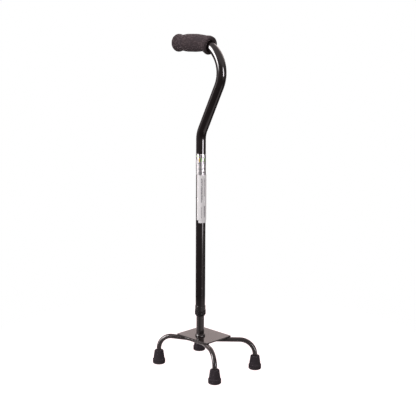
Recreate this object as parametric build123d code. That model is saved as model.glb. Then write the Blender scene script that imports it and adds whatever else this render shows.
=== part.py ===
# Quad walking cane: swan-neck handle tube sliding on a post that stands on a
# welded four-legged base. Millimetres, +Z up. The origin is on the floor at the
# centre of the footprint, +X runs along the handle and +Y away from the user side.
import os

from build123d import *

# ---- base footprint -------------------------------------------------------
foot_x = 92.5                # half the spacing of the feet along X
foot_y = 67.25               # half the spacing of the feet along Y
shaft_y = -21.5              # the post stands towards the near pair of feet
leg_level = 70.0             # height of the level run of both leg tubes
leg_radius = 5.5
leg_wall = 1.5
leg_end_z = 7.0              # cut end of each leg, resting on the disc in its tip

near_middle_y = -35.5        # straight middle of the near leg tube
near_middle_half = 25.0
near_drop_radius = 34.0      # bend from level to upright
near_plan_radius = 45.0      # bend in plan, under the plate
far_vertex_y = -20.5         # where the two diagonal runs of the far tube would meet
far_drop_radius = 36.5
far_plan_radius = 32.0

plate_size_x = 98.8
plate_size_y = 79.6
plate_thickness = 3.0
plate_centre_y = -9.4
plate_corner = 1.2

weld_reach = 6.6             # how far a fillet bead runs out under the plate
weld_flank = 20.0            # where it ends on the tube, in degrees above its side
weld_length = 14.0
near_weld_x = (-38.0, 0.0, 38.0)
far_weld_x = (-33.6, 33.6)

# ---- rubber tips ----------------------------------------------------------
tip_height = 32.3
tip_top_radius = 10.5
tip_cone_radius = 13.3
tip_base_radius = 14.8
tip_base_height = 11.5
tip_shoulder = 2.0           # rounding of the cuff's top rim
tip_step = 1.2
tip_edge = 1.5
tip_groove_depth = 1.2
tip_grooves = ((3.6, 5.6), (7.6, 9.6))     # inner and outer radius of each tread groove
disc_radius = 7.5
disc_thickness = 1.5

# ---- telescopic shaft -----------------------------------------------------
upper_radius = 11.1          # 7/8 in tube
upper_wall = 1.2
inner_radius = 9.15
inner_wall = 1.5
running_gap = 0.05
upper_end_z = 142.0
inner_top_z = 445.0
bush_stem = 14.0             # guide bush: how far it reaches down into the post
bush_flange = 6.0
bush_edge = 0.8
bush_skin = 1.8

hole_count = 13
hole_pitch = 19.05
first_hole_z = 175.0
hole_radius = 3.5
button_z = first_hole_z + (hole_count - 1) * hole_pitch

# ---- swan neck ------------------------------------------------------------
neck_start_z = 537.9
neck_lean = 27.0             # degrees from upright
lower_bend_radius = 50.0
upper_bend_radius = 63.5
handle_z = 750.5
tube_end_x = -73.5

# ---- foam grip ------------------------------------------------------------
grip_end_x = -80.5
grip_end_edge = 9.0
grip_end_radius = 19.95
grip_waist_radius = 17.6
grip_waist_x = -60.5
grip_barrel_radius = 19.6
grip_barrel_x = (-38.0, -17.0)
grip_mouth_radius = 20.3
grip_mouth_angle = 27.5      # how far the grip follows the upper bend, in degrees
grip_flare_angle = 12.5      # where the flared mouth starts on the bend
grip_mouth_edge = 3.2
plug_flange = 2.0
plug_stem = 12.0
plug_skin = 1.5

# ---- collar and lock ring -------------------------------------------------
collar_top_z = 152.0
collar_radius = 12.15
spigot_radius = 11.3
spigot_end_z = 132.0
collet_slot = 1.2
ring_radius = 12.7
ring_top_z = 141.8
ring_taper_z = 132.0
ring_end_z = 128.0
ring_mouth_radius = 10.4
ring_flutes = 30
flute_radius = 0.55
flute_out = 0.15             # how far a flute's axis lies outside the ring
flute_margin = 1.0
ring_bore_gap = 0.15
cone_gap = 0.2               # free height between the collet and the ring's cone
cone_rise = 1.1
cone_run = 1.0
cone_lip = 1.2
collar_edge = 0.5
collet_edge = 1.0
collet_slot_share = 0.6      # how far the slots run up the spigot

# ---- snap button ----------------------------------------------------------
button_radius = 3.2
button_gap = 0.15            # clearance round the button in the post
button_tip = 13.9            # distance of the button's crown from the shaft axis
button_crown = 1.1
button_head_radius = 4.2
button_head_out = 6.35
button_head_thickness = 0.8
spring_width = 7.0
spring_thickness = 0.6
spring_reach = 6.75          # distance of the far leaf from the shaft axis
spring_bend_drop = 34.0      # how far the spring's bend lies below the button
spring_tail = 7.0            # how far the leaves run past the button
spring_flat = 2.0            # flat run of the leaves below the button's head
spring_nose = 2.4            # half the width of the hairpin bend
spring_nose_x = 0.5
spring_knee = 3.0            # radius of the leaves' knees

# ---- labels ---------------------------------------------------------------
label_thickness = 0.2
foil_low_z = 458.0
foil_high_z = 506.0
foil_wrap = 340.0
paper_low_z = 355.0
paper_wrap = (-96.0, 84.0)   # degrees round the shaft from +X
under_low_z = 348.5
under_high_z = 452.0
under_wrap = (-73.0, 66.0)

plate_top_z = leg_level + leg_radius + plate_thickness
plate_low_z = leg_level + leg_radius
post_weld_radius = 12.1
post_weld_height = 7.0
post_weld_toe = 11.7         # radius of the bead where it meets the plate
post_weld_crest = 3.2        # height of its widest place above the plate

shaft = Pos(0, shaft_y, 0)


def write(shape, node):
    """Write one piece to its own file."""
    export_step(shape, f"parts/{node}.step")


def ring(outer, inner, low, high):
    """Plain sleeve about Z between two heights."""
    height = high - low
    align = (Align.CENTER, Align.CENTER, Align.MIN)
    return Pos(0, 0, low) * (Cylinder(outer, height, align=align) - Cylinder(inner, height, align=align))


def disc(radius, low, high):
    """Plain solid cylinder about Z between two heights."""
    return Pos(0, 0, low) * Cylinder(radius, high - low, align=(Align.CENTER, Align.CENTER, Align.MIN))


def side_drill(radius, height):
    """Cutter that runs from the shaft's axis out along -X."""
    align = (Align.CENTER, Align.CENTER, Align.MIN)
    return Pos(0, 0, height) * Rot(0, -90, 0) * Cylinder(radius, 2 * upper_radius, align=align)


def turned(*edges):
    """Revolve a closed half-section in XZ about Z."""
    return revolve(make_face(Wire(edges)), Axis.Z)


def outline(points):
    """Closed outline of straight edges through (radius, height) points in XZ."""
    corners = [Vector(x, 0, z) for x, z in points]
    return [Line(a, b).edge() for a, b in zip(corners, corners[1:] + corners[:1])]


def swept_rod(path, radius):
    """Solid round rod along a wire."""
    start = Plane(path @ 0, z_dir=path % 0)
    return sweep(start * Circle(radius), path=path)


def swept_tube(path, radius, wall):
    """Hollow round tube along a wire."""
    return swept_rod(path, radius) - swept_rod(path, radius - wall)


def half_bend(angle):
    """Tangent of half an angle in degrees, for the vertex of a bend."""
    return Vector(1, 0).rotate(Axis.Z, angle / 2).Y / Vector(1, 0).rotate(Axis.Z, angle / 2).X


def slope_angle(slope):
    """Angle in degrees of a line that rises by slope for each unit along X."""
    return Vector(1, 0).get_angle(Vector(1, slope))


# ---- base -----------------------------------------------------------------
def leg_path(plan_points, plan_radii, foot_row_y, drop_radius):
    """Wire of a leg tube: up from one foot, level under the plate, down to the other."""
    left_foot = (-foot_x, foot_row_y)
    right_foot = (foot_x, foot_row_y)
    level = [(x, y, leg_level) for x, y in (left_foot, *plan_points, right_foot)]
    points = [(*left_foot, leg_end_z), *level, (*right_foot, leg_end_z)]
    return FilletPolyline(*points, radius=[drop_radius, *plan_radii, drop_radius]).wire()


def near_leg_path():
    middle = [(-near_middle_half, near_middle_y), (near_middle_half, near_middle_y)]
    return leg_path(middle, [near_plan_radius] * 2, -foot_y, near_drop_radius)


def far_leg_path():
    return leg_path([(0, far_vertex_y)], [far_plan_radius], foot_y, far_drop_radius)


def base_plate():
    blank = extrude(RectangleRounded(plate_size_x, plate_size_y, plate_corner), plate_thickness)
    plate = Pos(0, plate_centre_y, plate_low_z) * blank
    return plate - shaft * disc(inner_radius + running_gap, plate_low_z, plate_top_z)


def post_weld():
    """Rounded bead where the post meets the plate."""
    low_in = Vector(inner_radius, 0, plate_top_z)
    low_out = Vector(post_weld_toe, 0, plate_top_z)
    high = Vector(inner_radius, 0, plate_top_z + post_weld_height)
    crest = Vector(post_weld_radius, 0, plate_top_z + post_weld_crest)
    bead = ThreePointArc(low_out, crest, high).edge()
    return shaft * turned(Line(low_in, low_out).edge(), bead, Line(high, low_in).edge())


def weld_bead(x, y, heading, side):
    """Fillet bead between the plate's underside and one side of a straight run of leg tube."""
    flank = Vector(leg_radius, 0).rotate(Axis.Z, weld_flank)
    points = [(0, leg_radius), (side * weld_reach, leg_radius), (side * flank.X, flank.Y)]
    corner = Polyline(*points, close=True)
    section = make_face(corner.edges()) - Circle(leg_radius)
    bead = extrude(Plane.XZ * section, weld_length / 2, both=True)
    return Pos(x, y, leg_level) * Rot(0, 0, heading - 90) * bead


def leg_welds():
    """The beads under the plate as one group: inside the near tube, and both sides of the far one."""
    near_slope = (foot_y + near_middle_y) / (foot_x - near_middle_half)
    far_slope = (foot_y - far_vertex_y) / foot_x
    beads = []
    for x in near_weld_x:
        past_middle = max(0, abs(x) - near_middle_half)
        turn = 0 if past_middle == 0 else -x / abs(x) * slope_angle(near_slope)
        beads.append(weld_bead(x, near_middle_y - past_middle * near_slope, turn, -1))
    for x in far_weld_x:
        turn = x / abs(x) * slope_angle(far_slope)
        beads += [weld_bead(x, far_vertex_y + abs(x) * far_slope, turn, side) for side in (-1, 1)]
    return Compound(children=[solid for bead in beads for solid in bead.solids()])


# ---- tips -----------------------------------------------------------------
def tip_body():
    """Moulded rubber tip with a socket for the leg, a pocket for its disc and tread grooves."""
    profile = outline([
        (0, 0),
        (tip_base_radius - tip_edge, 0),
        (tip_base_radius, tip_edge),
        (tip_base_radius, tip_base_height - tip_step),
        (tip_cone_radius, tip_base_height),
        (tip_top_radius, tip_height),
        (0, tip_height),
    ])
    body = turned(*profile)
    top_rim = body.edges().group_by(Axis.Z)[-1]
    body = fillet(top_rim, tip_shoulder)
    for inner, outer in tip_grooves:
        body -= ring(outer, inner, 0, tip_groove_depth)
    body -= disc(leg_radius, leg_end_z, tip_height)
    return body - disc(disc_radius, leg_end_z - disc_thickness, leg_end_z)


def tip_disc():
    return disc(disc_radius, leg_end_z - disc_thickness, leg_end_z)


# ---- shaft and handle -----------------------------------------------------
def neck_path(low_z, end_x):
    """Wire of the upper tube: upright, leaning out, then back over to a level handle."""
    first_z = neck_start_z + lower_bend_radius * half_bend(neck_lean)
    lean = Vector(0, 1).rotate(Axis.Z, -neck_lean)
    second_x = (handle_z - first_z) * lean.X / lean.Y
    points = [(0, 0, low_z), (0, 0, first_z), (second_x, 0, handle_z), (end_x, 0, handle_z)]
    return FilletPolyline(*points, radius=[lower_bend_radius, upper_bend_radius]).wire()


def bend_end_x():
    """Where the upper bend runs level into the handle."""
    first_z = neck_start_z + lower_bend_radius * half_bend(neck_lean)
    lean = Vector(0, 1).rotate(Axis.Z, -neck_lean)
    second_x = (handle_z - first_z) * lean.X / lean.Y
    return second_x - upper_bend_radius * half_bend(90 + neck_lean)


def upper_tube():
    tube = swept_tube(neck_path(upper_end_z, tube_end_x), upper_radius, upper_wall)
    for index in range(hole_count):
        tube -= side_drill(hole_radius, first_hole_z + index * hole_pitch)
    return shaft * tube


def along_handle(shape):
    """Put a piece turned about Z onto the handle, its Z pointing along +X."""
    return Pos(0, 0, handle_z) * Rot(0, 90, 0) * shape


def grip_straight():
    """Waisted part of the grip, turned about the handle's axis, with a rounded closed end."""
    start_x = bend_end_x()
    corner_centre = Vector(grip_end_radius - grip_end_edge, 0, grip_end_x + grip_end_edge)
    end_low = Vector(0, 0, grip_end_x)
    edge_low = corner_centre - Vector(0, 0, grip_end_edge)
    edge_middle = corner_centre + Vector(0, 0, -grip_end_edge).rotate(Axis.Y, -45)
    edge_high = corner_centre + Vector(grip_end_edge, 0, 0)
    inner_end = Vector(0, 0, start_x)
    outer_end = Vector(grip_waist_radius, 0, start_x)
    corner = ThreePointArc(edge_low, edge_middle, edge_high).edge()
    flow = Spline(
        edge_high,
        Vector(grip_waist_radius, 0, grip_waist_x),
        *(Vector(grip_barrel_radius, 0, x) for x in grip_barrel_x),
        outer_end,
        tangents=[(0, 0, 1), (0, 0, 1)],
    ).edge()
    closing = [Line(outer_end, inner_end).edge(), Line(inner_end, end_low).edge()]
    return along_handle(turned(Line(end_low, edge_low).edge(), corner, flow, *closing))


def bend_arc(start_angle, end_angle):
    """Arc of the upper bend's centre line between two angles from the level handle."""
    centre = Vector(bend_end_x(), 0, handle_z - upper_bend_radius)
    reach = Vector(0, 0, upper_bend_radius)
    angles = (start_angle, (start_angle + end_angle) / 2, end_angle)
    return Wire([ThreePointArc(*(centre + reach.rotate(Axis.Y, angle) for angle in angles)).edge()])


def grip_bend():
    """Flared mouth of the grip, following the upper bend."""
    throat = swept_rod(bend_arc(0, grip_flare_angle), grip_waist_radius)
    flare = swept_rod(bend_arc(grip_flare_angle, grip_mouth_angle), grip_mouth_radius)
    rims = flare.edges().filter_by(GeomType.CIRCLE).sort_by(Axis.X)
    return throat + fillet([rims[0], rims[-1]], grip_mouth_edge)


def foam_grip():
    body = grip_straight() + grip_bend()
    bore = swept_rod(neck_path(upper_end_z, tube_end_x - plug_flange), upper_radius)
    return shaft * (body - bore)


def handle_end_plug():
    """Cap in the cut end of the handle tube."""
    stem_radius = upper_radius - upper_wall - running_gap
    plug = disc(upper_radius, tube_end_x - plug_flange, tube_end_x)
    plug += disc(stem_radius, tube_end_x, tube_end_x + plug_stem)
    plug -= disc(stem_radius - plug_skin, tube_end_x + plug_skin, tube_end_x + plug_stem)
    return shaft * along_handle(plug)


def inner_tube():
    tube = ring(inner_radius, inner_radius - inner_wall, plate_low_z, inner_top_z)
    return shaft * (tube - side_drill(button_radius + button_gap, button_z))


def guide_bush():
    """Plastic bush in the top of the post that runs in the upper tube."""
    stem_radius = inner_radius - inner_wall - running_gap
    flange_radius = upper_radius - upper_wall - running_gap
    low_z = inner_top_z - bush_stem
    high_z = inner_top_z + bush_flange
    bush = disc(stem_radius, low_z, inner_top_z)
    bush += disc(flange_radius, inner_top_z, high_z)
    top_rim = bush.edges().group_by(Axis.Z)[-1]
    bush = chamfer(top_rim, bush_edge)
    return shaft * (bush - disc(stem_radius - bush_skin, low_z, high_z))


# ---- collar and lock ring -------------------------------------------------
def collar_bush():
    """Sleeve round the mouth of the upper tube with a slotted collet spigot below it."""
    sleeve = ring(collar_radius, upper_radius, upper_end_z, collar_top_z)
    sleeve = fillet(sleeve.edges().group_by(Axis.Z)[-1].sort_by(SortBy.LENGTH)[-1], collar_edge)
    spigot = ring(spigot_radius, inner_radius + running_gap, spigot_end_z, upper_end_z)
    spigot = chamfer(spigot.edges().group_by(Axis.Z)[0].sort_by(SortBy.LENGTH)[-1], collet_edge)
    slot_height = collet_slot_share * (upper_end_z - spigot_end_z)
    slot = Box(2 * collar_radius, collet_slot, slot_height, align=(Align.CENTER, Align.CENTER, Align.MIN))
    for angle in (45, 135):
        spigot -= Pos(0, 0, spigot_end_z) * Rot(0, 0, angle) * slot
    return shaft * (sleeve + spigot)


def lock_ring():
    """Fluted nut below the collar, coned inside to squeeze the collet."""
    seat_z = spigot_end_z - cone_gap
    bore = inner_radius + ring_bore_gap
    seat_radius = spigot_radius + running_gap
    body = turned(*outline([
        (bore, ring_end_z),
        (ring_mouth_radius, ring_end_z),
        (ring_radius, ring_taper_z),
        (ring_radius, ring_top_z),
        (seat_radius, ring_top_z),
        (seat_radius, seat_z + cone_rise),
        (seat_radius - cone_run, seat_z),
        (bore, seat_z - cone_lip),
    ]))
    flute = disc(flute_radius, ring_taper_z + flute_margin, ring_top_z - flute_margin)
    for index in range(ring_flutes):
        body -= Rot(0, 0, index * 360 / ring_flutes) * Pos(ring_radius + flute_out, 0, 0) * flute
    return shaft * body


# ---- snap button ----------------------------------------------------------
def snap_button():
    """Domed steel button that locks the height; it points along -X."""
    stem_length = button_tip - button_head_out
    button = disc(button_radius, 0, stem_length)
    button = fillet(button.edges().group_by(Axis.Z)[-1], button_crown)
    button += disc(button_head_radius, -button_head_thickness, 0)
    return shaft * Pos(-button_head_out, 0, button_z) * Rot(0, -90, 0) * button


def button_spring():
    """Hairpin leaf spring inside the post that pushes the button out."""
    near_face = -(button_head_out - button_head_thickness)
    bend_z = button_z - spring_bend_drop
    top_z = button_z + spring_tail
    shank_z = button_z - button_head_radius - spring_flat
    centre_line = FilletPolyline(
        (near_face + spring_thickness / 2, 0, top_z),
        (near_face + spring_thickness / 2, 0, shank_z),
        (spring_nose_x - spring_nose, 0, bend_z),
        (spring_nose_x + spring_nose, 0, bend_z),
        (spring_reach - spring_thickness / 2, 0, shank_z),
        (spring_reach - spring_thickness / 2, 0, top_z),
        radius=[spring_knee, 0.9 * spring_nose, 0.9 * spring_nose, spring_knee],
    ).wire()
    start = Plane(centre_line @ 0, x_dir=(0, 1, 0), z_dir=centre_line % 0)
    strip = sweep(start * Rectangle(spring_width, spring_thickness), path=centre_line)
    return shaft * strip


# ---- labels ---------------------------------------------------------------
def wrapped(low, high, start, end, thickness):
    """Thin sheet wrapped round the upper tube between two angles from +X."""
    face = Plane.XZ * Pos(upper_radius + thickness / 2, (low + high) / 2) * Rectangle(thickness, high - low)
    sheet = revolve(face, Axis.Z, end - start)
    return Rot(0, 0, start) * sheet


def under_label():
    return shaft * wrapped(under_low_z, under_high_z, *under_wrap, label_thickness)


def paper_label():
    sheet = wrapped(paper_low_z, foil_low_z, *paper_wrap, 2 * label_thickness)
    return shaft * sheet - under_label()


def foil_label():
    """Foil sheet wrapped almost all the way round, its gap on the -X side."""
    return shaft * wrapped(foil_low_z, foil_high_z, -foil_wrap / 2, foil_wrap / 2, label_thickness)


def main():
    os.makedirs("parts", exist_ok=True)
    write(swept_tube(near_leg_path(), leg_radius, leg_wall), "near_leg_tube")
    write(swept_tube(far_leg_path(), leg_radius, leg_wall), "far_leg_tube")
    write(base_plate(), "base_plate")
    write(post_weld(), "post_weld")
    write(leg_welds(), "leg_welds")
    corners = {
        "near_left": (-foot_x, -foot_y),
        "near_right": (foot_x, -foot_y),
        "far_left": (-foot_x, foot_y),
        "far_right": (foot_x, foot_y),
    }
    for name, (x, y) in corners.items():
        write(Pos(x, y, 0) * tip_body(), f"tip_{name}")
        write(Pos(x, y, 0) * tip_disc(), f"tip_disc_{name}")
    write(inner_tube(), "inner_tube")
    write(guide_bush(), "guide_bush")
    write(snap_button(), "snap_button")
    write(button_spring(), "button_spring")
    write(upper_tube(), "upper_tube")
    write(foam_grip(), "foam_grip")
    write(handle_end_plug(), "handle_end_plug")
    write(collar_bush(), "collar_bush")
    write(lock_ring(), "lock_ring")
    write(under_label(), "under_label")
    write(paper_label(), "paper_label")
    write(foil_label(), "foil_label")


main()
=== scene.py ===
import math
from typing import NamedTuple

import bmesh
import bpy
from mathutils import Matrix, Vector, noise


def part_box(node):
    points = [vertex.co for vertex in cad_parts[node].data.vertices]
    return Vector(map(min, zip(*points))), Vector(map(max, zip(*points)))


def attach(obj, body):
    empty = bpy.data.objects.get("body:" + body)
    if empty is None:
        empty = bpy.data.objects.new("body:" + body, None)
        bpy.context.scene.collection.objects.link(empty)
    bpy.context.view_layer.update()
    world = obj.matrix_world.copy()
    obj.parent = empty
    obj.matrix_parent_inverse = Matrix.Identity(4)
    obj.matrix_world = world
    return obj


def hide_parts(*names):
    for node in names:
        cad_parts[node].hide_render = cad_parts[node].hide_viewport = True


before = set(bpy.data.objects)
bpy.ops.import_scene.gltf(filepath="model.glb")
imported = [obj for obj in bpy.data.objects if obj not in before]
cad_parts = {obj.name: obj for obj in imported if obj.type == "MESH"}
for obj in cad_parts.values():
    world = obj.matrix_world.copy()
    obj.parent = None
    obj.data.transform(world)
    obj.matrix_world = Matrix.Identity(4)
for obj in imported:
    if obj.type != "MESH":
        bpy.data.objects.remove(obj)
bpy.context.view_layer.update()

# ---- places and sizes, in metres ------------------------------------------
MM = 0.001
shaft_low, shaft_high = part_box("inner_tube")
shaft_y = (shaft_low.y + shaft_high.y) / 2
upper_radius = (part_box("upper_tube")[1].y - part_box("upper_tube")[0].y) / 2
plug_low, plug_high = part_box("handle_end_plug")
handle_z = (plug_low.z + plug_high.z) / 2
grip_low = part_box("foam_grip")[0]
weld_low, weld_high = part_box("post_weld")
post_radius = (shaft_high.y - shaft_low.y) / 2

upper_bend_radius = 63.5 * MM        # bend between the leaning tube and the level handle
upper_bend_x = -1.35 * MM            # where that bend runs level into the handle
leg_radius = 5.5 * MM
leg_wall = 1.5 * MM
leg_level = 70 * MM
leg_end_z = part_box("near_leg_tube")[0].z
foot_x = (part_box("tip_near_right")[0].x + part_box("tip_near_right")[1].x) / 2
foot_y = (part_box("tip_far_right")[0].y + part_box("tip_far_right")[1].y) / 2

# ---- camera ---------------------------------------------------------------
view_azimuth = math.radians(44.75)     # 0 looks along +Y
view_down = math.radians(10.81)
view_roll = math.radians(0.32)
view_distance = 2.167
view_aim = Vector((0.0016, 0.0003, 0.3786))
lens_mm = 82.04
toward_camera = Vector((math.sin(view_azimuth), -math.cos(view_azimuth), 0))
camera_right = Vector((math.cos(view_azimuth), math.sin(view_azimuth), 0))


def add_camera():
    """Camera at the photograph's viewing angle."""
    data = bpy.data.cameras.new("camera")
    data.lens = lens_mm
    data.sensor_width = 36.0
    camera = bpy.data.objects.new("camera", data)
    bpy.context.scene.collection.objects.link(camera)
    forward = -toward_camera * math.cos(view_down) - Vector((0, 0, math.sin(view_down)))
    camera.location = view_aim - forward * view_distance
    facing = forward.to_track_quat("-Z", "Y").to_matrix()
    camera.rotation_euler = (facing @ Matrix.Rotation(view_roll, 3, "Z")).to_euler()
    bpy.context.scene.camera = camera


# ---- node graphs ----------------------------------------------------------
class Graph:
    """Adds nodes to a material or world. A value is a number, a vector or another node's socket."""

    def __init__(self, tree):
        self.nodes = tree.nodes
        self.links = tree.links

    def feed(self, socket, value):
        if isinstance(value, bpy.types.NodeSocket):
            self.links.new(value, socket)
        else:
            socket.default_value = value

    def node(self, kind, inputs=(), **settings):
        made = self.nodes.new(kind)
        for key, value in settings.items():
            setattr(made, key, value)
        for key, value in dict(inputs).items():
            self.feed(made.inputs[key], value)
        return made

    def math(self, operation, a, b=0.0):
        return self.node("ShaderNodeMath", {0: a, 1: b}, operation=operation).outputs[0]

    def place(self):
        """Coordinates in the piece's own frame, in metres."""
        return self.node("ShaderNodeTexCoord").outputs["Object"]

    def stretched(self, place, scale):
        return self.node("ShaderNodeVectorMath", {0: place, 1: scale}, operation="MULTIPLY").outputs[0]

    def dot(self, place, direction):
        made = self.node("ShaderNodeVectorMath", {0: place, 1: direction}, operation="DOT_PRODUCT")
        return made.outputs["Value"]

    def noise(self, place, per_metre, detail=2.0):
        inputs = {"Vector": place, "Scale": per_metre, "Detail": detail}
        return self.node("ShaderNodeTexNoise", inputs).outputs[0]

    def cells(self, place, per_metre):
        return self.node("ShaderNodeTexVoronoi", {"Vector": place, "Scale": per_metre}).outputs["Distance"]

    def spread(self, value, from_low, from_high, to_low=0.0, to_high=1.0, smooth=False):
        inputs = {"Value": value, "From Min": from_low, "From Max": from_high,
                  "To Min": to_low, "To Max": to_high}
        kind = "SMOOTHSTEP" if smooth else "LINEAR"
        return self.node("ShaderNodeMapRange", inputs, interpolation_type=kind).outputs[0]

    def window(self, value, low, high, soft):
        """1 between low and high, falling to 0 over soft on both sides."""
        rise = self.spread(value, low - soft, low + soft, smooth=True)
        fall = self.spread(value, high - soft, high + soft, 1.0, 0.0, smooth=True)
        return self.math("MULTIPLY", rise, fall)

    def blend(self, share, first, second):
        """Colour between two colours."""
        made = self.node("ShaderNodeMix", data_type="RGBA")
        self.feed(made.inputs["Factor"], share)
        colour_sockets = [socket for socket in made.inputs if socket.type == "RGBA"]
        for socket, colour in zip(colour_sockets, (first, second)):
            self.feed(socket, (*colour, 1) if isinstance(colour, tuple) else colour)
        return next(socket for socket in made.outputs if socket.type == "RGBA")

    def bump(self, height, depth, strength=1.0):
        inputs = {"Height": height, "Distance": depth, "Strength": strength}
        return self.node("ShaderNodeBump", inputs).outputs[0]


# ---- light, world and floor -----------------------------------------------
class Softbox(NamedTuple):
    """Light seen in reflections: degrees right of the camera, degrees of elevation, and its colour."""
    left: float
    right: float
    side_soft: float
    low: float
    high: float
    end_soft: float
    colour: tuple


studio_shade = (0.10, 0.085, 0.087)      # what glossy surfaces reflect where there is no softbox
even_light = (0.56, 0.546, 0.55, 1)      # what matt surfaces get from every side
softboxes = (
    Softbox(-181, 181, 1, -14, 91, 5, (0.15, 0.13, 0.13)),     # walls
    Softbox(-84, -60, 5, 1.5, 36, 4, (32, 31, 31)),            # big box on the left
    Softbox(-98, -80, 4, -1, 5, 3, (8, 7.6, 7.6)),             # its foot
    Softbox(-110, -50, 12, -3, 52, 7, (0.9, 0.82, 0.82)),      # its glow on the wall
    Softbox(37, 49, 3, 0, 13, 4, (32, 31, 32)),                # strip on the right
    Softbox(40.5, 57, 3, -11, 0, 3, (29, 27.5, 29)),           # its foot
    Softbox(25, 75, 12, -20, 24, 8, (0.55, 0.5, 0.5)),         # its glow
    Softbox(-181, 181, 1, 22, 91, 12, (0.75, 0.68, 0.68)),     # ceiling
    Softbox(45, 85, 12, -62, -38, 8, (0.8, 0.72, 0.72)),       # far floor on the right
)
back_softboxes = (
    Softbox(125, 181, 15, 10, 44, 4, (1.6, 1.32, 1.27)),       # white sweep behind the cane
    Softbox(172, 181, 4, -30, 8, 5, (2.2, 2.1, 2.1)),          # strip behind it
)


def add_world():
    """White to the camera, even light for matt surfaces, and softboxes for glossy ones to reflect."""
    world = bpy.data.worlds.new("studio")
    bpy.context.scene.world = world
    world.use_nodes = True
    world.node_tree.nodes.clear()
    graph = Graph(world.node_tree)
    place = graph.node("ShaderNodeTexCoord").outputs["Generated"]
    side = graph.dot(place, camera_right)
    ahead = graph.dot(place, toward_camera)
    rise = graph.dot(place, (0, 0, 1))
    azimuth = graph.math("DEGREES", graph.math("ARCTAN2", side, ahead))
    elevation = graph.math("DEGREES", graph.math("ARCSINE", rise))
    turned_away = graph.math("ABSOLUTE", azimuth)
    total = studio_shade
    for heading, boxes in ((azimuth, softboxes), (turned_away, back_softboxes)):
        for box in boxes:
            across = graph.window(heading, box.left, box.right, box.side_soft)
            upright = graph.window(elevation, box.low, box.high, box.end_soft)
            share = graph.math("MULTIPLY", across, upright)
            light = graph.node("ShaderNodeVectorMath", {0: box.colour, "Scale": share}, operation="SCALE")
            added = graph.node("ShaderNodeVectorMath", {0: total, 1: light.outputs[0]}, operation="ADD")
            total = added.outputs[0]
    reflected = graph.node("ShaderNodeBackground", {"Color": total})
    even = graph.node("ShaderNodeBackground", {"Color": even_light})
    white = graph.node("ShaderNodeBackground", {"Color": (1, 1, 1, 1)})
    path = graph.node("ShaderNodeLightPath")
    glossy, direct = path.outputs["Is Glossy Ray"], path.outputs["Is Camera Ray"]
    lit = graph.node("ShaderNodeMixShader", {0: glossy, 1: even.outputs[0], 2: reflected.outputs[0]})
    seen = graph.node("ShaderNodeMixShader", {0: direct, 1: lit.outputs[0], 2: white.outputs[0]})
    graph.node("ShaderNodeOutputWorld", {"Surface": seen.outputs[0]})


def add_area_light(name, place, target, width, height, power):
    """Soft light for matt surfaces; glossy ones reflect the world's softboxes instead."""
    data = bpy.data.lights.new(name, "AREA")
    data.shape = "RECTANGLE"
    data.size = width
    data.size_y = height
    data.energy = power
    light = bpy.data.objects.new(name, data)
    bpy.context.scene.collection.objects.link(light)
    light.location = place
    light.rotation_euler = (target - place).to_track_quat("-Z", "Y").to_euler()
    light.visible_glossy = False


def add_lights():
    middle = Vector((0, 0, 0.4))
    up = Vector((0, 0, 1))
    front = middle + 2.2 * toward_camera + 0.7 * up
    left = middle - 1.7 * camera_right + 0.6 * up + 0.5 * toward_camera
    top = middle + 1.9 * up - 0.2 * toward_camera
    add_area_light("front_light", front, middle, 1.4, 1.4, 14)
    add_area_light("left_light", left, middle, 0.9, 1.4, 19)
    add_area_light("top_light", top, middle, 1.8, 1.8, 30)


def add_floor():
    """Pale round floor that fades out into the white studio; paint reflects its camera side darker."""
    radius = 0.8
    fade_start, fade_end = 0.4, 0.62                 # distances between which it fades out
    seen_glow, mirrored_glow, even_glow = 1.1, 0.72, 0.1
    mesh = bpy.data.meshes.new("floor")
    form = bmesh.new()
    bmesh.ops.create_circle(form, cap_ends=True, radius=radius, segments=96)
    form.to_mesh(mesh)
    form.free()
    floor = bpy.data.objects.new("floor", mesh)
    bpy.context.scene.collection.objects.link(floor)
    floor.location.z = -0.2 * MM
    material, graph, shader = start_material("floor_white", Roughness=0.9, Specular_IOR_Level=0.0)
    place = graph.place()
    distance = graph.node("ShaderNodeVectorMath", {0: place}, operation="LENGTH").outputs["Value"]
    side = graph.dot(place, camera_right)
    ahead = graph.dot(place, toward_camera)
    heading = graph.math("DEGREES", graph.math("ARCTAN2", side, ahead))
    # painted shade: for glossy rays the floor's glow is dimmer on its camera side, from 0.1 m out
    camera_side = graph.window(heading, -48, 6, 8)
    shade = graph.math("MULTIPLY", camera_side, graph.spread(distance, 0.1, 0.3, 0.0, 0.6))
    path = graph.node("ShaderNodeLightPath")
    mirrored = graph.math("SUBTRACT", mirrored_glow, shade)
    mirrored = graph.math("MULTIPLY", path.outputs["Is Glossy Ray"], mirrored)
    glow = graph.math("ADD", mirrored, graph.math("MULTIPLY", path.outputs["Is Camera Ray"], seen_glow))
    graph.feed(shader.inputs["Emission Strength"], graph.math("ADD", glow, even_glow))
    shader.inputs["Emission Color"].default_value = (1, 0.86, 0.87, 1)
    shader.inputs["Base Color"].default_value = (0.15, 0.145, 0.145, 1)
    graph.feed(shader.inputs["Alpha"], graph.spread(distance, fade_start, fade_end, 1.0, 0.0, smooth=True))
    mesh.materials.append(material)


# ---- materials ------------------------------------------------------------
def start_material(name, **constants):
    """Material with its shader's constant sockets set; returns it with its graph and shader."""
    material = bpy.data.materials.new(name)
    material.use_nodes = True
    graph = Graph(material.node_tree)
    shader = graph.nodes["Principled BSDF"]
    for key, value in constants.items():
        shader.inputs[key.replace("_", " ")].default_value = value
    return material, graph, shader


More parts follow.
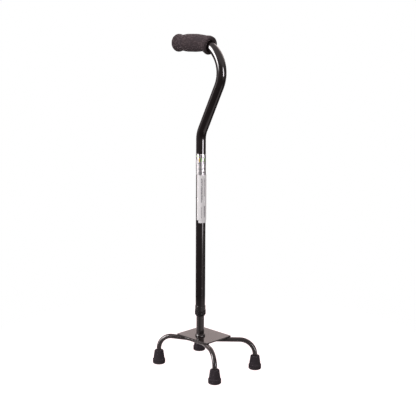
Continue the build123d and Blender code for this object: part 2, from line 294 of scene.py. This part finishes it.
def baked_paint(name, dark, light, smooth, worn, gloss=0.5):
    """Baked black paint: faint orange peel, cloudy tone, and fine rubbing marks along Z."""
    material, graph, shader = start_material(name, Specular_IOR_Level=gloss)
    place = graph.place()
    clouds = graph.noise(place, 60, 4)
    rubbed = graph.noise(graph.stretched(place, (1, 1, 0.03)), 900, 3)
    graph.feed(shader.inputs["Base Color"], graph.blend(graph.spread(clouds, 0.35, 0.7), dark, light))
    rough = graph.math("ADD", graph.spread(clouds, 0.3, 0.7, smooth, smooth + 0.03),
                       graph.spread(rubbed, 0.55, 0.8, 0.0, worn))
    graph.feed(shader.inputs["Roughness"], rough)
    peel = graph.noise(place, 520, 1)
    graph.feed(shader.inputs["Normal"], graph.bump(peel, 0.003 * MM))
    return material


def closed_cell_foam(name):
    """Moulded foam skin: mottled warm grey-black with fine pores, each painted darker inside as painted
    shade.
    """
    material, graph, shader = start_material(name, Specular_IOR_Level=0.12)
    place = graph.place()
    mottle = graph.noise(place, 330, 4)
    broad = graph.noise(place, 70, 2)
    pores = graph.cells(place, 1500)
    tone = graph.blend(graph.spread(mottle, 0.36, 0.64), (0.032, 0.023, 0.025), (0.058, 0.044, 0.046))
    tone = graph.blend(graph.spread(broad, 0.4, 0.65, 0.0, 0.5), tone, (0.036, 0.029, 0.033))
    # painted shade: the colour darkens toward each pore's centre
    shade = graph.spread(pores, 0.05, 0.4, 0.55, 0.0)
    graph.feed(shader.inputs["Base Color"], graph.blend(shade, tone, (0.012, 0.009, 0.010)))
    graph.feed(shader.inputs["Roughness"], graph.spread(mottle, 0.3, 0.7, 0.82, 0.98))
    grain = graph.math("ADD", graph.spread(pores, 0.0, 0.45), mottle)
    graph.feed(shader.inputs["Normal"], graph.bump(grain, 0.16 * MM, 0.8))
    return material


def matt_mould(name, dark, light, grain_per_metre, depth, rough_low, rough_high, gloss=0.1, dust_height=0.0):
    """Rubber or matt plastic with a moulded grain, and dust up to a height above the floor."""
    material, graph, shader = start_material(name, Specular_IOR_Level=gloss)
    place = graph.place()
    clouds = graph.noise(place, 120, 4)
    grain = graph.noise(place, grain_per_metre, 3)
    tone = graph.blend(graph.spread(clouds, 0.35, 0.68), dark, light)
    if dust_height:
        height = graph.dot(place, (0, 0, 1))
        settled = graph.spread(height, 0.0, dust_height, 0.08, 0.0, smooth=True)
        share = graph.math("MULTIPLY", settled, graph.spread(grain, 0.4, 0.7))
        tone = graph.blend(share, tone, (0.16, 0.145, 0.135))
    graph.feed(shader.inputs["Base Color"], tone)
    graph.feed(shader.inputs["Roughness"], graph.spread(clouds, 0.3, 0.7, rough_low, rough_high))
    graph.feed(shader.inputs["Normal"], graph.bump(grain, depth))
    return material


def bright_steel(name):
    """Turned steel with fine marks round Z."""
    material, graph, shader = start_material(name, Metallic=1.0)
    place = graph.place()
    marks = graph.noise(graph.stretched(place, (0.1, 0.1, 1)), 6000, 2)
    graph.feed(shader.inputs["Base Color"], graph.blend(marks, (0.45, 0.45, 0.46), (0.66, 0.65, 0.64)))
    graph.feed(shader.inputs["Roughness"], graph.spread(marks, 0.3, 0.7, 0.2, 0.36))
    graph.feed(shader.inputs["Normal"], graph.bump(marks, 0.01 * MM))
    return material


def label_place(graph):
    """Degrees round the shaft from +X, and height in millimetres."""
    place = graph.place()
    x = graph.dot(place, (1, 0, 0))
    y = graph.math("SUBTRACT", graph.dot(place, (0, 1, 0)), shaft_y)
    angle = graph.math("DEGREES", graph.math("ARCTAN2", y, x))
    return place, angle, graph.dot(place, (0, 0, 1 / MM))


def print_line(graph, across, along, centre, half_width, start, end, per_unit):
    """Broken grey line of plain dashes, standing in for small print."""
    row = graph.window(across, centre - half_width, centre + half_width, 0.3 * half_width)
    stretch = graph.window(along, start, end, 0.4)
    flow = graph.node("ShaderNodeCombineXYZ", {"X": along, "Y": centre}).outputs[0]
    dashes = graph.spread(graph.noise(flow, per_unit, 1), 0.39, 0.46)
    return graph.math("MULTIPLY", graph.math("MULTIPLY", row, stretch), dashes)


def any_of(graph, masks):
    """Union of masks."""
    total = masks[0]
    for mask in masks[1:]:
        total = graph.math("MAXIMUM", total, mask)
    return total


paper_columns = (
    # angle of each line, the heights between which its dashes run, and how dark they are
    (-40.5, 396, 450, 0.9), (-36.0, 396, 451, 0.95), (-31.0, 397, 450, 0.9), (-26.0, 402, 448, 0.7),
    (-38.5, 360, 386, 0.7), (-33.5, 359, 386, 0.6),
    (-5.0, 408, 451, 0.6), (0.5, 409, 450, 0.8), (6.0, 408, 451, 0.7),
    (-5.5, 362, 388, 0.95), (0.0, 361, 387, 1.0), (5.5, 361, 388, 1.0), (11.0, 363, 386, 0.8),
    (32.0, 380, 448, 0.8), (36.5, 380, 446, 0.8),
)


def printed_paper(name, with_print=True):
    """Coated white paper with columns of plain dashes instead of text."""
    material, graph, shader = start_material(name, Specular_IOR_Level=0.12)
    place, angle, height = label_place(graph)
    fibre = graph.noise(place, 900, 4)
    tone = graph.blend(fibre, (0.66, 0.635, 0.645), (0.74, 0.715, 0.72))
    if with_print:
        lines = []
        for centre, low, high, dark in paper_columns:
            line = print_line(graph, angle, height, centre, 1.9, low, high, 0.55)
            lines.append(graph.math("MULTIPLY", line, dark))
        ink = any_of(graph, lines)
        tone = graph.blend(ink, tone, (0.09, 0.085, 0.10))
    graph.feed(shader.inputs["Base Color"], tone)
    graph.feed(shader.inputs["Roughness"], graph.spread(fibre, 0.3, 0.7, 0.6, 0.7))
    graph.feed(shader.inputs["Normal"], graph.bump(fibre, 0.03 * MM))
    return material


foil_dots = (
    # angle and height of each dot, its half width in degrees, its half height in millimetres and its colour
    (-65, 492.8, 7.5, 5.0, (0.60, 0.40, 0.04)),
    (-38, 492.8, 7.0, 5.0, (0.15, 0.36, 0.07)),
    (2, 492.8, 9.0, 5.0, (0.15, 0.36, 0.07)),
    (-90, 501.0, 8.0, 1.8, (0.25, 0.55, 0.10)),
)
foil_lines = (
    # height of each line, then the angles between which its dashes run
    (484, -84, 30), (481, -84, 30), (473, -84, 24), (470.5, -84, 24), (464, -84, 30), (461.5, -80, 20),
)


def printed_foil(name):
    """Silver foil with plain dots and dashes."""
    material, graph, shader = start_material(name)
    place, angle, height = label_place(graph)
    crinkle = graph.noise(place, 260, 3)
    tone = graph.blend(crinkle, (0.27, 0.263, 0.272), (0.37, 0.362, 0.37))
    lines = [print_line(graph, height, angle, centre, 0.8, start, end, 0.35)
             for centre, start, end in foil_lines]
    ink = graph.math("MULTIPLY", any_of(graph, lines), 0.85)
    tone = graph.blend(ink, tone, (0.12, 0.12, 0.13))
    dots = []
    for centre, level, half_width, half_height, colour in foil_dots:
        beside = graph.math("DIVIDE", graph.math("SUBTRACT", angle, centre), half_width)
        above = graph.math("DIVIDE", graph.math("SUBTRACT", height, level), half_height)
        reach = graph.math("ADD", graph.math("POWER", beside, 2), graph.math("POWER", above, 2))
        dot = graph.window(reach, -1, 1, 0.15)
        tone = graph.blend(graph.math("MULTIPLY", dot, 0.85), tone, colour)
        dots.append(dot)
    graph.feed(shader.inputs["Base Color"], tone)
    printed = graph.math("MAXIMUM", ink, any_of(graph, dots))
    graph.feed(shader.inputs["Metallic"], graph.spread(printed, 0.0, 1.0, 0.9, 0.25))
    graph.feed(shader.inputs["Roughness"], graph.spread(crinkle, 0.3, 0.7, 0.36, 0.5))
    graph.feed(shader.inputs["Normal"], graph.bump(crinkle, 0.05 * MM))
    return material


# ---- mesh helpers ---------------------------------------------------------
def grid_faces(rows, columns, rows_close=False):
    """Quads of a grid whose columns close on themselves, and its rows too if asked."""
    faces = []
    for row in range(rows if rows_close else rows - 1):
        after = (row + 1) % rows
        for column in range(columns):
            beside = (column + 1) % columns
            faces.append((row * columns + column, row * columns + beside,
                          after * columns + beside, after * columns + column))
    return faces


def add_piece(name, vertices, faces, material, body, replaced):
    """Smooth closed mesh that rides on a body and stands for a CAD node."""
    mesh = bpy.data.meshes.new(name)
    form = bmesh.new()
    corners = [form.verts.new(vertex) for vertex in vertices]
    for face in faces:
        form.faces.new([corners[index] for index in face])
    bmesh.ops.recalc_face_normals(form, faces=form.faces)
    form.to_mesh(mesh)
    form.free()
    mesh.shade_smooth()
    mesh.materials.append(material)
    piece = bpy.data.objects.new(name, mesh)
    bpy.context.scene.collection.objects.link(piece)
    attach(piece, body)
    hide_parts(replaced)
    return piece


def eased(keys, place):
    """Value at a place between (place, value) keys, level at each key."""
    for (start, first), (end, second) in zip(keys, keys[1:]):
        if place <= end:
            share = max(0.0, (place - start) / (end - start))
            return first + (second - first) * (1 - math.cos(math.pi * share)) / 2
    return keys[-1][1]


# ---- leg tubes ------------------------------------------------------------
class Station(NamedTuple):
    """Place on a tube's centre line and its heading; in a bend also the way inward and how deep in it is."""
    place: Vector
    heading: Vector
    inward: Vector
    depth: float


def rounded_path(corners, radii, steps):
    """Stations along straight runs joined by tangent arcs."""
    corners = [Vector(corner) for corner in corners]
    heading = (corners[1] - corners[0]).normalized()
    still = Vector((0, 0, 0))
    path = [Station(corners[0], heading, still, 0.0)]
    for index, radius in enumerate(radii, start=1):
        after = (corners[index + 1] - corners[index]).normalized()
        turn = heading.angle(after)
        across = (after - heading * math.cos(turn)).normalized()
        start = corners[index] - heading * radius * math.tan(turn / 2)
        for step in range(steps + 1):
            angle = turn * step / steps
            place = start + radius * (heading * math.sin(angle) + across * (1 - math.cos(angle)))
            inward = across * math.cos(angle) - heading * math.sin(angle)
            ahead = heading * math.cos(angle) + across * math.sin(angle)
            path.append(Station(place, ahead, inward, math.sin(math.pi * step / steps)))
        heading = after
    path.append(Station(corners[-1], heading, still, 0.0))
    return path


def ring_points(station, up, radius_at, sides):
    """One ring of a tube, square to its heading."""
    sideways = station.heading.cross(up).normalized()
    level = sideways.cross(station.heading).normalized()
    points = []
    for side in range(sides):
        angle = 2 * math.pi * side / sides
        out = sideways * math.cos(angle) + level * math.sin(angle)
        points.append(station.place + out * radius_at(out))
    return points


def add_leg(name, corners, radii, replaced, material):
    """Bent leg tube, hollow, with the faint wrinkles that bending leaves inside each bend."""
    sides, bend_steps = 40, 44
    wrinkle_depth = 0.05 * MM
    wrinkle_pitch = 4.6 * MM
    path = rounded_path(corners, radii, bend_steps)
    across = (path[-1].place - path[0].place).cross(Vector((0, 0, 1))).normalized()
    rows = []
    travelled = 0.0
    for index, station in enumerate(path):
        if index:
            travelled += (station.place - path[index - 1].place).length
        wave = math.sin(2 * math.pi * travelled / wrinkle_pitch) * station.depth ** 2

        def outer(out, wave=wave, inward=station.inward):
            inside = max(0.0, out.dot(inward))
            return leg_radius + wrinkle_depth * wave * inside ** 1.5

        rows.append(ring_points(station, across, outer, sides))
    for station in reversed(path):
        rows.append(ring_points(station, across, lambda out: leg_radius - leg_wall, sides))
    vertices = [point for row in rows for point in row]
    faces = grid_faces(len(rows), sides, rows_close=True)
    add_piece(name, vertices, faces, material, "base", replaced)


def add_legs(material):
    """Both leg tubes, each from foot to foot under the plate."""
    near_row, near_middle, near_half = -foot_y, -35.5 * MM, 25 * MM
    far_vertex = -20.5 * MM
    near_foot_bend, near_plate_bend = 34 * MM, 45 * MM
    far_foot_bend, far_vertex_bend = 36.5 * MM, 32 * MM
    near_corners = [(-foot_x, near_row, leg_end_z), (-foot_x, near_row, leg_level),
                    (-near_half, near_middle, leg_level), (near_half, near_middle, leg_level),
                    (foot_x, near_row, leg_level), (foot_x, near_row, leg_end_z)]
    far_corners = [(-foot_x, foot_y, leg_end_z), (-foot_x, foot_y, leg_level), (0, far_vertex, leg_level),
                   (foot_x, foot_y, leg_level), (foot_x, foot_y, leg_end_z)]
    near_bends = [near_foot_bend, near_plate_bend, near_plate_bend, near_foot_bend]
    far_bends = [far_foot_bend, far_vertex_bend, far_foot_bend]
    add_leg("near_leg", near_corners, near_bends, "near_leg_tube", material)
    add_leg("far_leg", far_corners, far_bends, "far_leg_tube", material)


# ---- weld -----------------------------------------------------------------
def add_post_bead(material):
    """Faintly rippled bead where the post meets the plate, a little smaller than the CAD's plain one."""
    ripples = 22
    sides = ripples * 8
    levels = 12
    scallop_depth = 0.07                             # as a share of the bead's width
    twist = 0.3                                      # by how much of a ripple its top is turned
    height = 0.8 * (weld_high.z - weld_low.z)
    width = 0.85 * ((weld_high.x - weld_low.x) / 2 - post_radius)
    hidden = post_radius - 0.3 * MM                  # its back lies inside the post
    rows = [[(hidden, weld_low.z)] * sides]
    for level in range(levels + 1):
        slope = math.pi / 2 * level / levels
        row = []
        for side in range(sides):
            turn = ripples * side / sides + twist * level / levels
            scallop = 1 - scallop_depth + scallop_depth * abs(math.sin(math.pi * turn)) ** 0.7
            radius = post_radius + width * scallop * math.cos(slope)
            row.append((radius, weld_low.z + height * math.sin(slope)))
        rows.append(row)
    rows.append([(hidden, weld_low.z + height)] * sides)
    vertices = []
    for row in rows:
        for side, (radius, z) in enumerate(row):
            angle = 2 * math.pi * side / sides
            vertices.append((radius * math.cos(angle), shaft_y + radius * math.sin(angle), z))
    faces = grid_faces(len(rows), sides, rows_close=True)
    add_piece("post_bead", vertices, faces, material, "base", "post_weld")


# ---- foam grip ------------------------------------------------------------
grip_end = grip_low.x - upper_bend_x              # closed end, measured along the handle from the bend
grip_edge = 9.2 * MM
grip_bulge = 19.9 * MM
mouth_end = upper_bend_radius * math.radians(27.5)
mouth_radius = 20.0 * MM
mouth_hole = 12.3 * MM
mouth_reach = 1.4 * MM                            # how far the mouth's sides reach past mouth_end
mouth_lean = 4.1 * MM                             # and how much further still its lower side does
mouth_rise = 0.9 * MM                             # how far its outside sits above the tube's axis
grip_keys = (
    (grip_end + grip_edge, grip_bulge),
    (-59.0 * MM, 17.7 * MM),
    (-37.0 * MM, 19.65 * MM),
    (-17.0 * MM, 19.7 * MM),
    (12.5 * MM, 17.8 * MM),
    (24.5 * MM, mouth_radius),
    (mouth_end, mouth_radius),
)


def grip_outline():
    """(distance along the handle, radius) from the middle of the closed end to the bottom of the bore.

    Also returns how many points at the end lie inside the bore.
    """
    dome = 0.7 * MM                                  # how far the middle of the closed end stands out
    tiny = 0.4 * MM                                  # radius of the face that closes each end of the outline
    points = [(grip_end - dome, tiny), (grip_end - 0.55 * MM, 4 * MM)]
    flat = grip_bulge - grip_edge
    for step in range(13):
        angle = math.pi / 2 * step / 12
        points.append((grip_end + grip_edge * (1 - math.cos(angle)), flat + grip_edge * math.sin(angle)))
    lip, inner_lip = 3.4 * MM, 2.8 * MM              # outer and inner rounding of the mouth
    place = grip_end + grip_edge
    stride = 0.85 * MM
    while place + stride < mouth_end - lip:
        place += stride
        points.append((place, eased(grip_keys, place)))
    for step in range(11):
        angle = math.pi / 2 * step / 10
        back = lip * (1 - math.sin(angle))
        points.append((mouth_end - back, mouth_radius - lip * (1 - math.cos(angle))))
    for step in range(7):
        angle = math.pi / 2 * step / 6
        back = inner_lip * (1 - math.cos(angle))
        points.append((mouth_end - back, mouth_hole + inner_lip * (1 - math.sin(angle))))
    bore = upper_radius + 0.05 * MM
    bore_end = grip_end + 4.6 * MM
    inside = [
        (mouth_end - 5 * MM, mouth_hole - 0.4 * MM),
        (mouth_end - 7.2 * MM, bore),
        (0.0, bore),
        (bore_end, bore),
        (bore_end, tiny),
    ]
    return points + inside, len(inside)


def grip_point(along, radius, angle):
    """Point of the grip: its axis follows the handle, then the upper bend, and its mouth leans forward below.

    Toward the mouth its outside also sits higher than its bore.
    """
    share = min(1.0, max(0.0, along / mouth_end))
    thick = max(0.0, radius - upper_radius) / (mouth_radius - upper_radius)
    radius += mouth_rise * share * thick * math.cos(angle)
    along += share * share * (3 - 2 * share) * (mouth_reach - mouth_lean * math.cos(angle))
    turn = max(0.0, along) / upper_bend_radius
    level = min(0.0, along)
    centre = Vector((
        upper_bend_x + level + upper_bend_radius * math.sin(turn),
        shaft_y,
        handle_z - upper_bend_radius * (1 - math.cos(turn)),
    ))
    up = Vector((math.sin(turn), 0, math.cos(turn)))
    return centre + radius * (up * math.cos(angle) + Vector((0, math.sin(angle), 0)))


def add_grip(material):
    """Foam grip with a rounded closed end, two waists, a rolled flared mouth and an uneven skin."""
    sides = 132
    outline, bore_rows = grip_outline()
    sag = 0.9 * MM                                   # how far the closed end's skin hangs down
    vertices = []
    for index, (along, radius) in enumerate(outline):
        skin = 0.0 if index >= len(outline) - bore_rows else 1.0
        droop = sag * max(0.0, along / grip_end) ** 2
        for side in range(sides):
            angle = 2 * math.pi * side / sides
            point = grip_point(along, radius, angle)
            out = (point - grip_point(along, 0, angle)).normalized()
            lumps = 0.14 * MM * noise.noise(point / (5 * MM)) + 0.06 * MM * noise.noise(point / (1.7 * MM))
            vertices.append(point + skin * (out * lumps - Vector((0, 0, droop))))
    faces = grid_faces(len(outline), sides)
    last = (len(outline) - 1) * sides
    faces.append(tuple(range(sides)))
    faces.append(tuple(last + side for side in range(sides)))
    grip = add_piece("grip_foam_skin", vertices, faces, material, "handle", "foam_grip")


# ---- labels ---------------------------------------------------------------
def add_sheet_label(name, low, high, start, end, gap_keys, thickness, material, replaced):
    """Thin sheet wrapped round the upper tube, standing off it by a gap that varies round the tube."""
    columns = int((end - start) / 3)                 # about 3 degrees wide
    rows = int((high - low) / (5 * MM))              # and 5 mm high
    outside, inside = [], []
    for row in range(rows + 1):
        z = low + (high - low) * row / rows
        for column in range(columns + 1):
            degrees = start + (end - start) * column / columns
            turn = math.radians(degrees)
            ripple = 0.05 * MM * noise.noise(Vector((degrees / 25, z / (18 * MM), 0)))
            gap = eased(gap_keys, degrees) + max(0.0, ripple)
            for points, extra in ((inside, 0.0), (outside, thickness)):
                reach = upper_radius + gap + extra
                points.append(Vector((reach * math.cos(turn), shaft_y + reach * math.sin(turn), z)))
    stride = columns + 1
    faces = []
    shift = len(outside)

    def corner(row, column, layer):
        return row * stride + column + layer * shift

    for row in range(rows):
        for column in range(columns):
            quad = [(row, column), (row, column + 1), (row + 1, column + 1), (row + 1, column)]
            faces.append([corner(*place, 0) for place in quad])
            faces.append([corner(*place, 1) for place in reversed(quad)])
    rim = [(0, column) for column in range(columns)] + [(row, columns) for row in range(rows)]
    rim += [(rows, column) for column in range(columns, 0, -1)] + [(row, 0) for row in range(rows, 0, -1)]
    for first, second in zip(rim, rim[1:] + rim[:1]):
        faces.append([corner(*first, 0), corner(*second, 0), corner(*second, 1), corner(*first, 1)])
    piece = add_piece(name, outside + inside, faces, material, "handle", replaced)
    piece.data.set_sharp_from_angle(angle=math.radians(50))


def add_labels():
    """Foil sheet, and two paper sheets whose far edge lifts off the tube."""
    foil_low, foil_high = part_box("foil_label")
    paper_low, paper_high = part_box("paper_label")
    under_low, under_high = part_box("under_label")
    add_sheet_label("foil_sheet", foil_low.z, foil_high.z, -170, 170, ((-170, 0.02 * MM), (170, 0.02 * MM)),
                    0.18 * MM, printed_foil("foil"), "foil_label")
    add_sheet_label("under_sheet", under_low.z, under_high.z, -73, 66,
                    ((-73, 0.02 * MM), (-20, 0.05 * MM), (66, 0.7 * MM)),
                    0.2 * MM, printed_paper("under_paper", with_print=False), "under_label")
    add_sheet_label("paper_sheet", paper_low.z, paper_high.z, -96, 84,
                    ((-96, 0.03 * MM), (-73, 0.26 * MM), (-20, 0.3 * MM), (45, 1.15 * MM), (84, 1.6 * MM)),
                    0.25 * MM, printed_paper("paper"), "paper_label")


# ---- finishes of the CAD nodes --------------------------------------------
def finish_nodes():
    """Give each carried-over CAD node its material; returns the leg paint for the pieces that share it."""
    tube_paint = baked_paint("tube_paint", (0.0068, 0.0046, 0.0048), (0.0105, 0.0076, 0.0078), 0.05, 0.04)
    leg_paint = baked_paint("leg_paint", (0.016, 0.012, 0.012), (0.025, 0.0192, 0.0192), 0.21, 0.0,
                            gloss=0.33)
    plate_paint = baked_paint("plate_paint", (0.012, 0.0085, 0.0085), (0.019, 0.0135, 0.013), 0.11, 0.0)
    post_paint = baked_paint("post_paint", (0.0088, 0.0058, 0.0060), (0.0135, 0.0095, 0.0095), 0.05, 0.03)
    collar = baked_paint("gloss_collar", (0.0085, 0.0068, 0.0070), (0.012, 0.010, 0.010), 0.07, 0.03)
    plastic = matt_mould("black_plastic", (0.010, 0.008, 0.0085), (0.016, 0.0135, 0.014),
                         2600, 0.01 * MM, 0.42, 0.55)
    rubber = matt_mould("tip_rubber", (0.033, 0.0272, 0.0315), (0.046, 0.038, 0.0435),
                        1700, 0.03 * MM, 0.6, 0.8, gloss=0.01, dust_height=14 * MM)
    bush = matt_mould("white_plastic", (0.70, 0.70, 0.68), (0.80, 0.80, 0.78),
                      900, 0.01 * MM, 0.35, 0.45)
    steel = bright_steel("bright_steel")
    finishes = {
        "upper_tube": tube_paint,
        "inner_tube": post_paint,
        "base_plate": plate_paint,
        "leg_welds": leg_paint,
        "collar_bush": collar,
        "lock_ring": plastic,
        "handle_end_plug": plastic,
        "guide_bush": bush,
        "snap_button": steel,
        "button_spring": steel,
    }
    for name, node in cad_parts.items():
        if name.startswith("tip_disc"):
            finish = steel
        elif name.startswith("tip_"):
            finish = rubber
        else:
            finish = finishes.get(name, leg_paint)
        node.data.materials.clear()
        node.data.materials.append(finish)
    return leg_paint


bpy.context.scene.view_settings.view_transform = "Standard"
add_camera()
add_world()
add_floor()
add_lights()
leg_finish = finish_nodes()
add_legs(leg_finish)
add_post_bead(leg_finish)
add_grip(closed_cell_foam("grip_foam"))
add_labels()
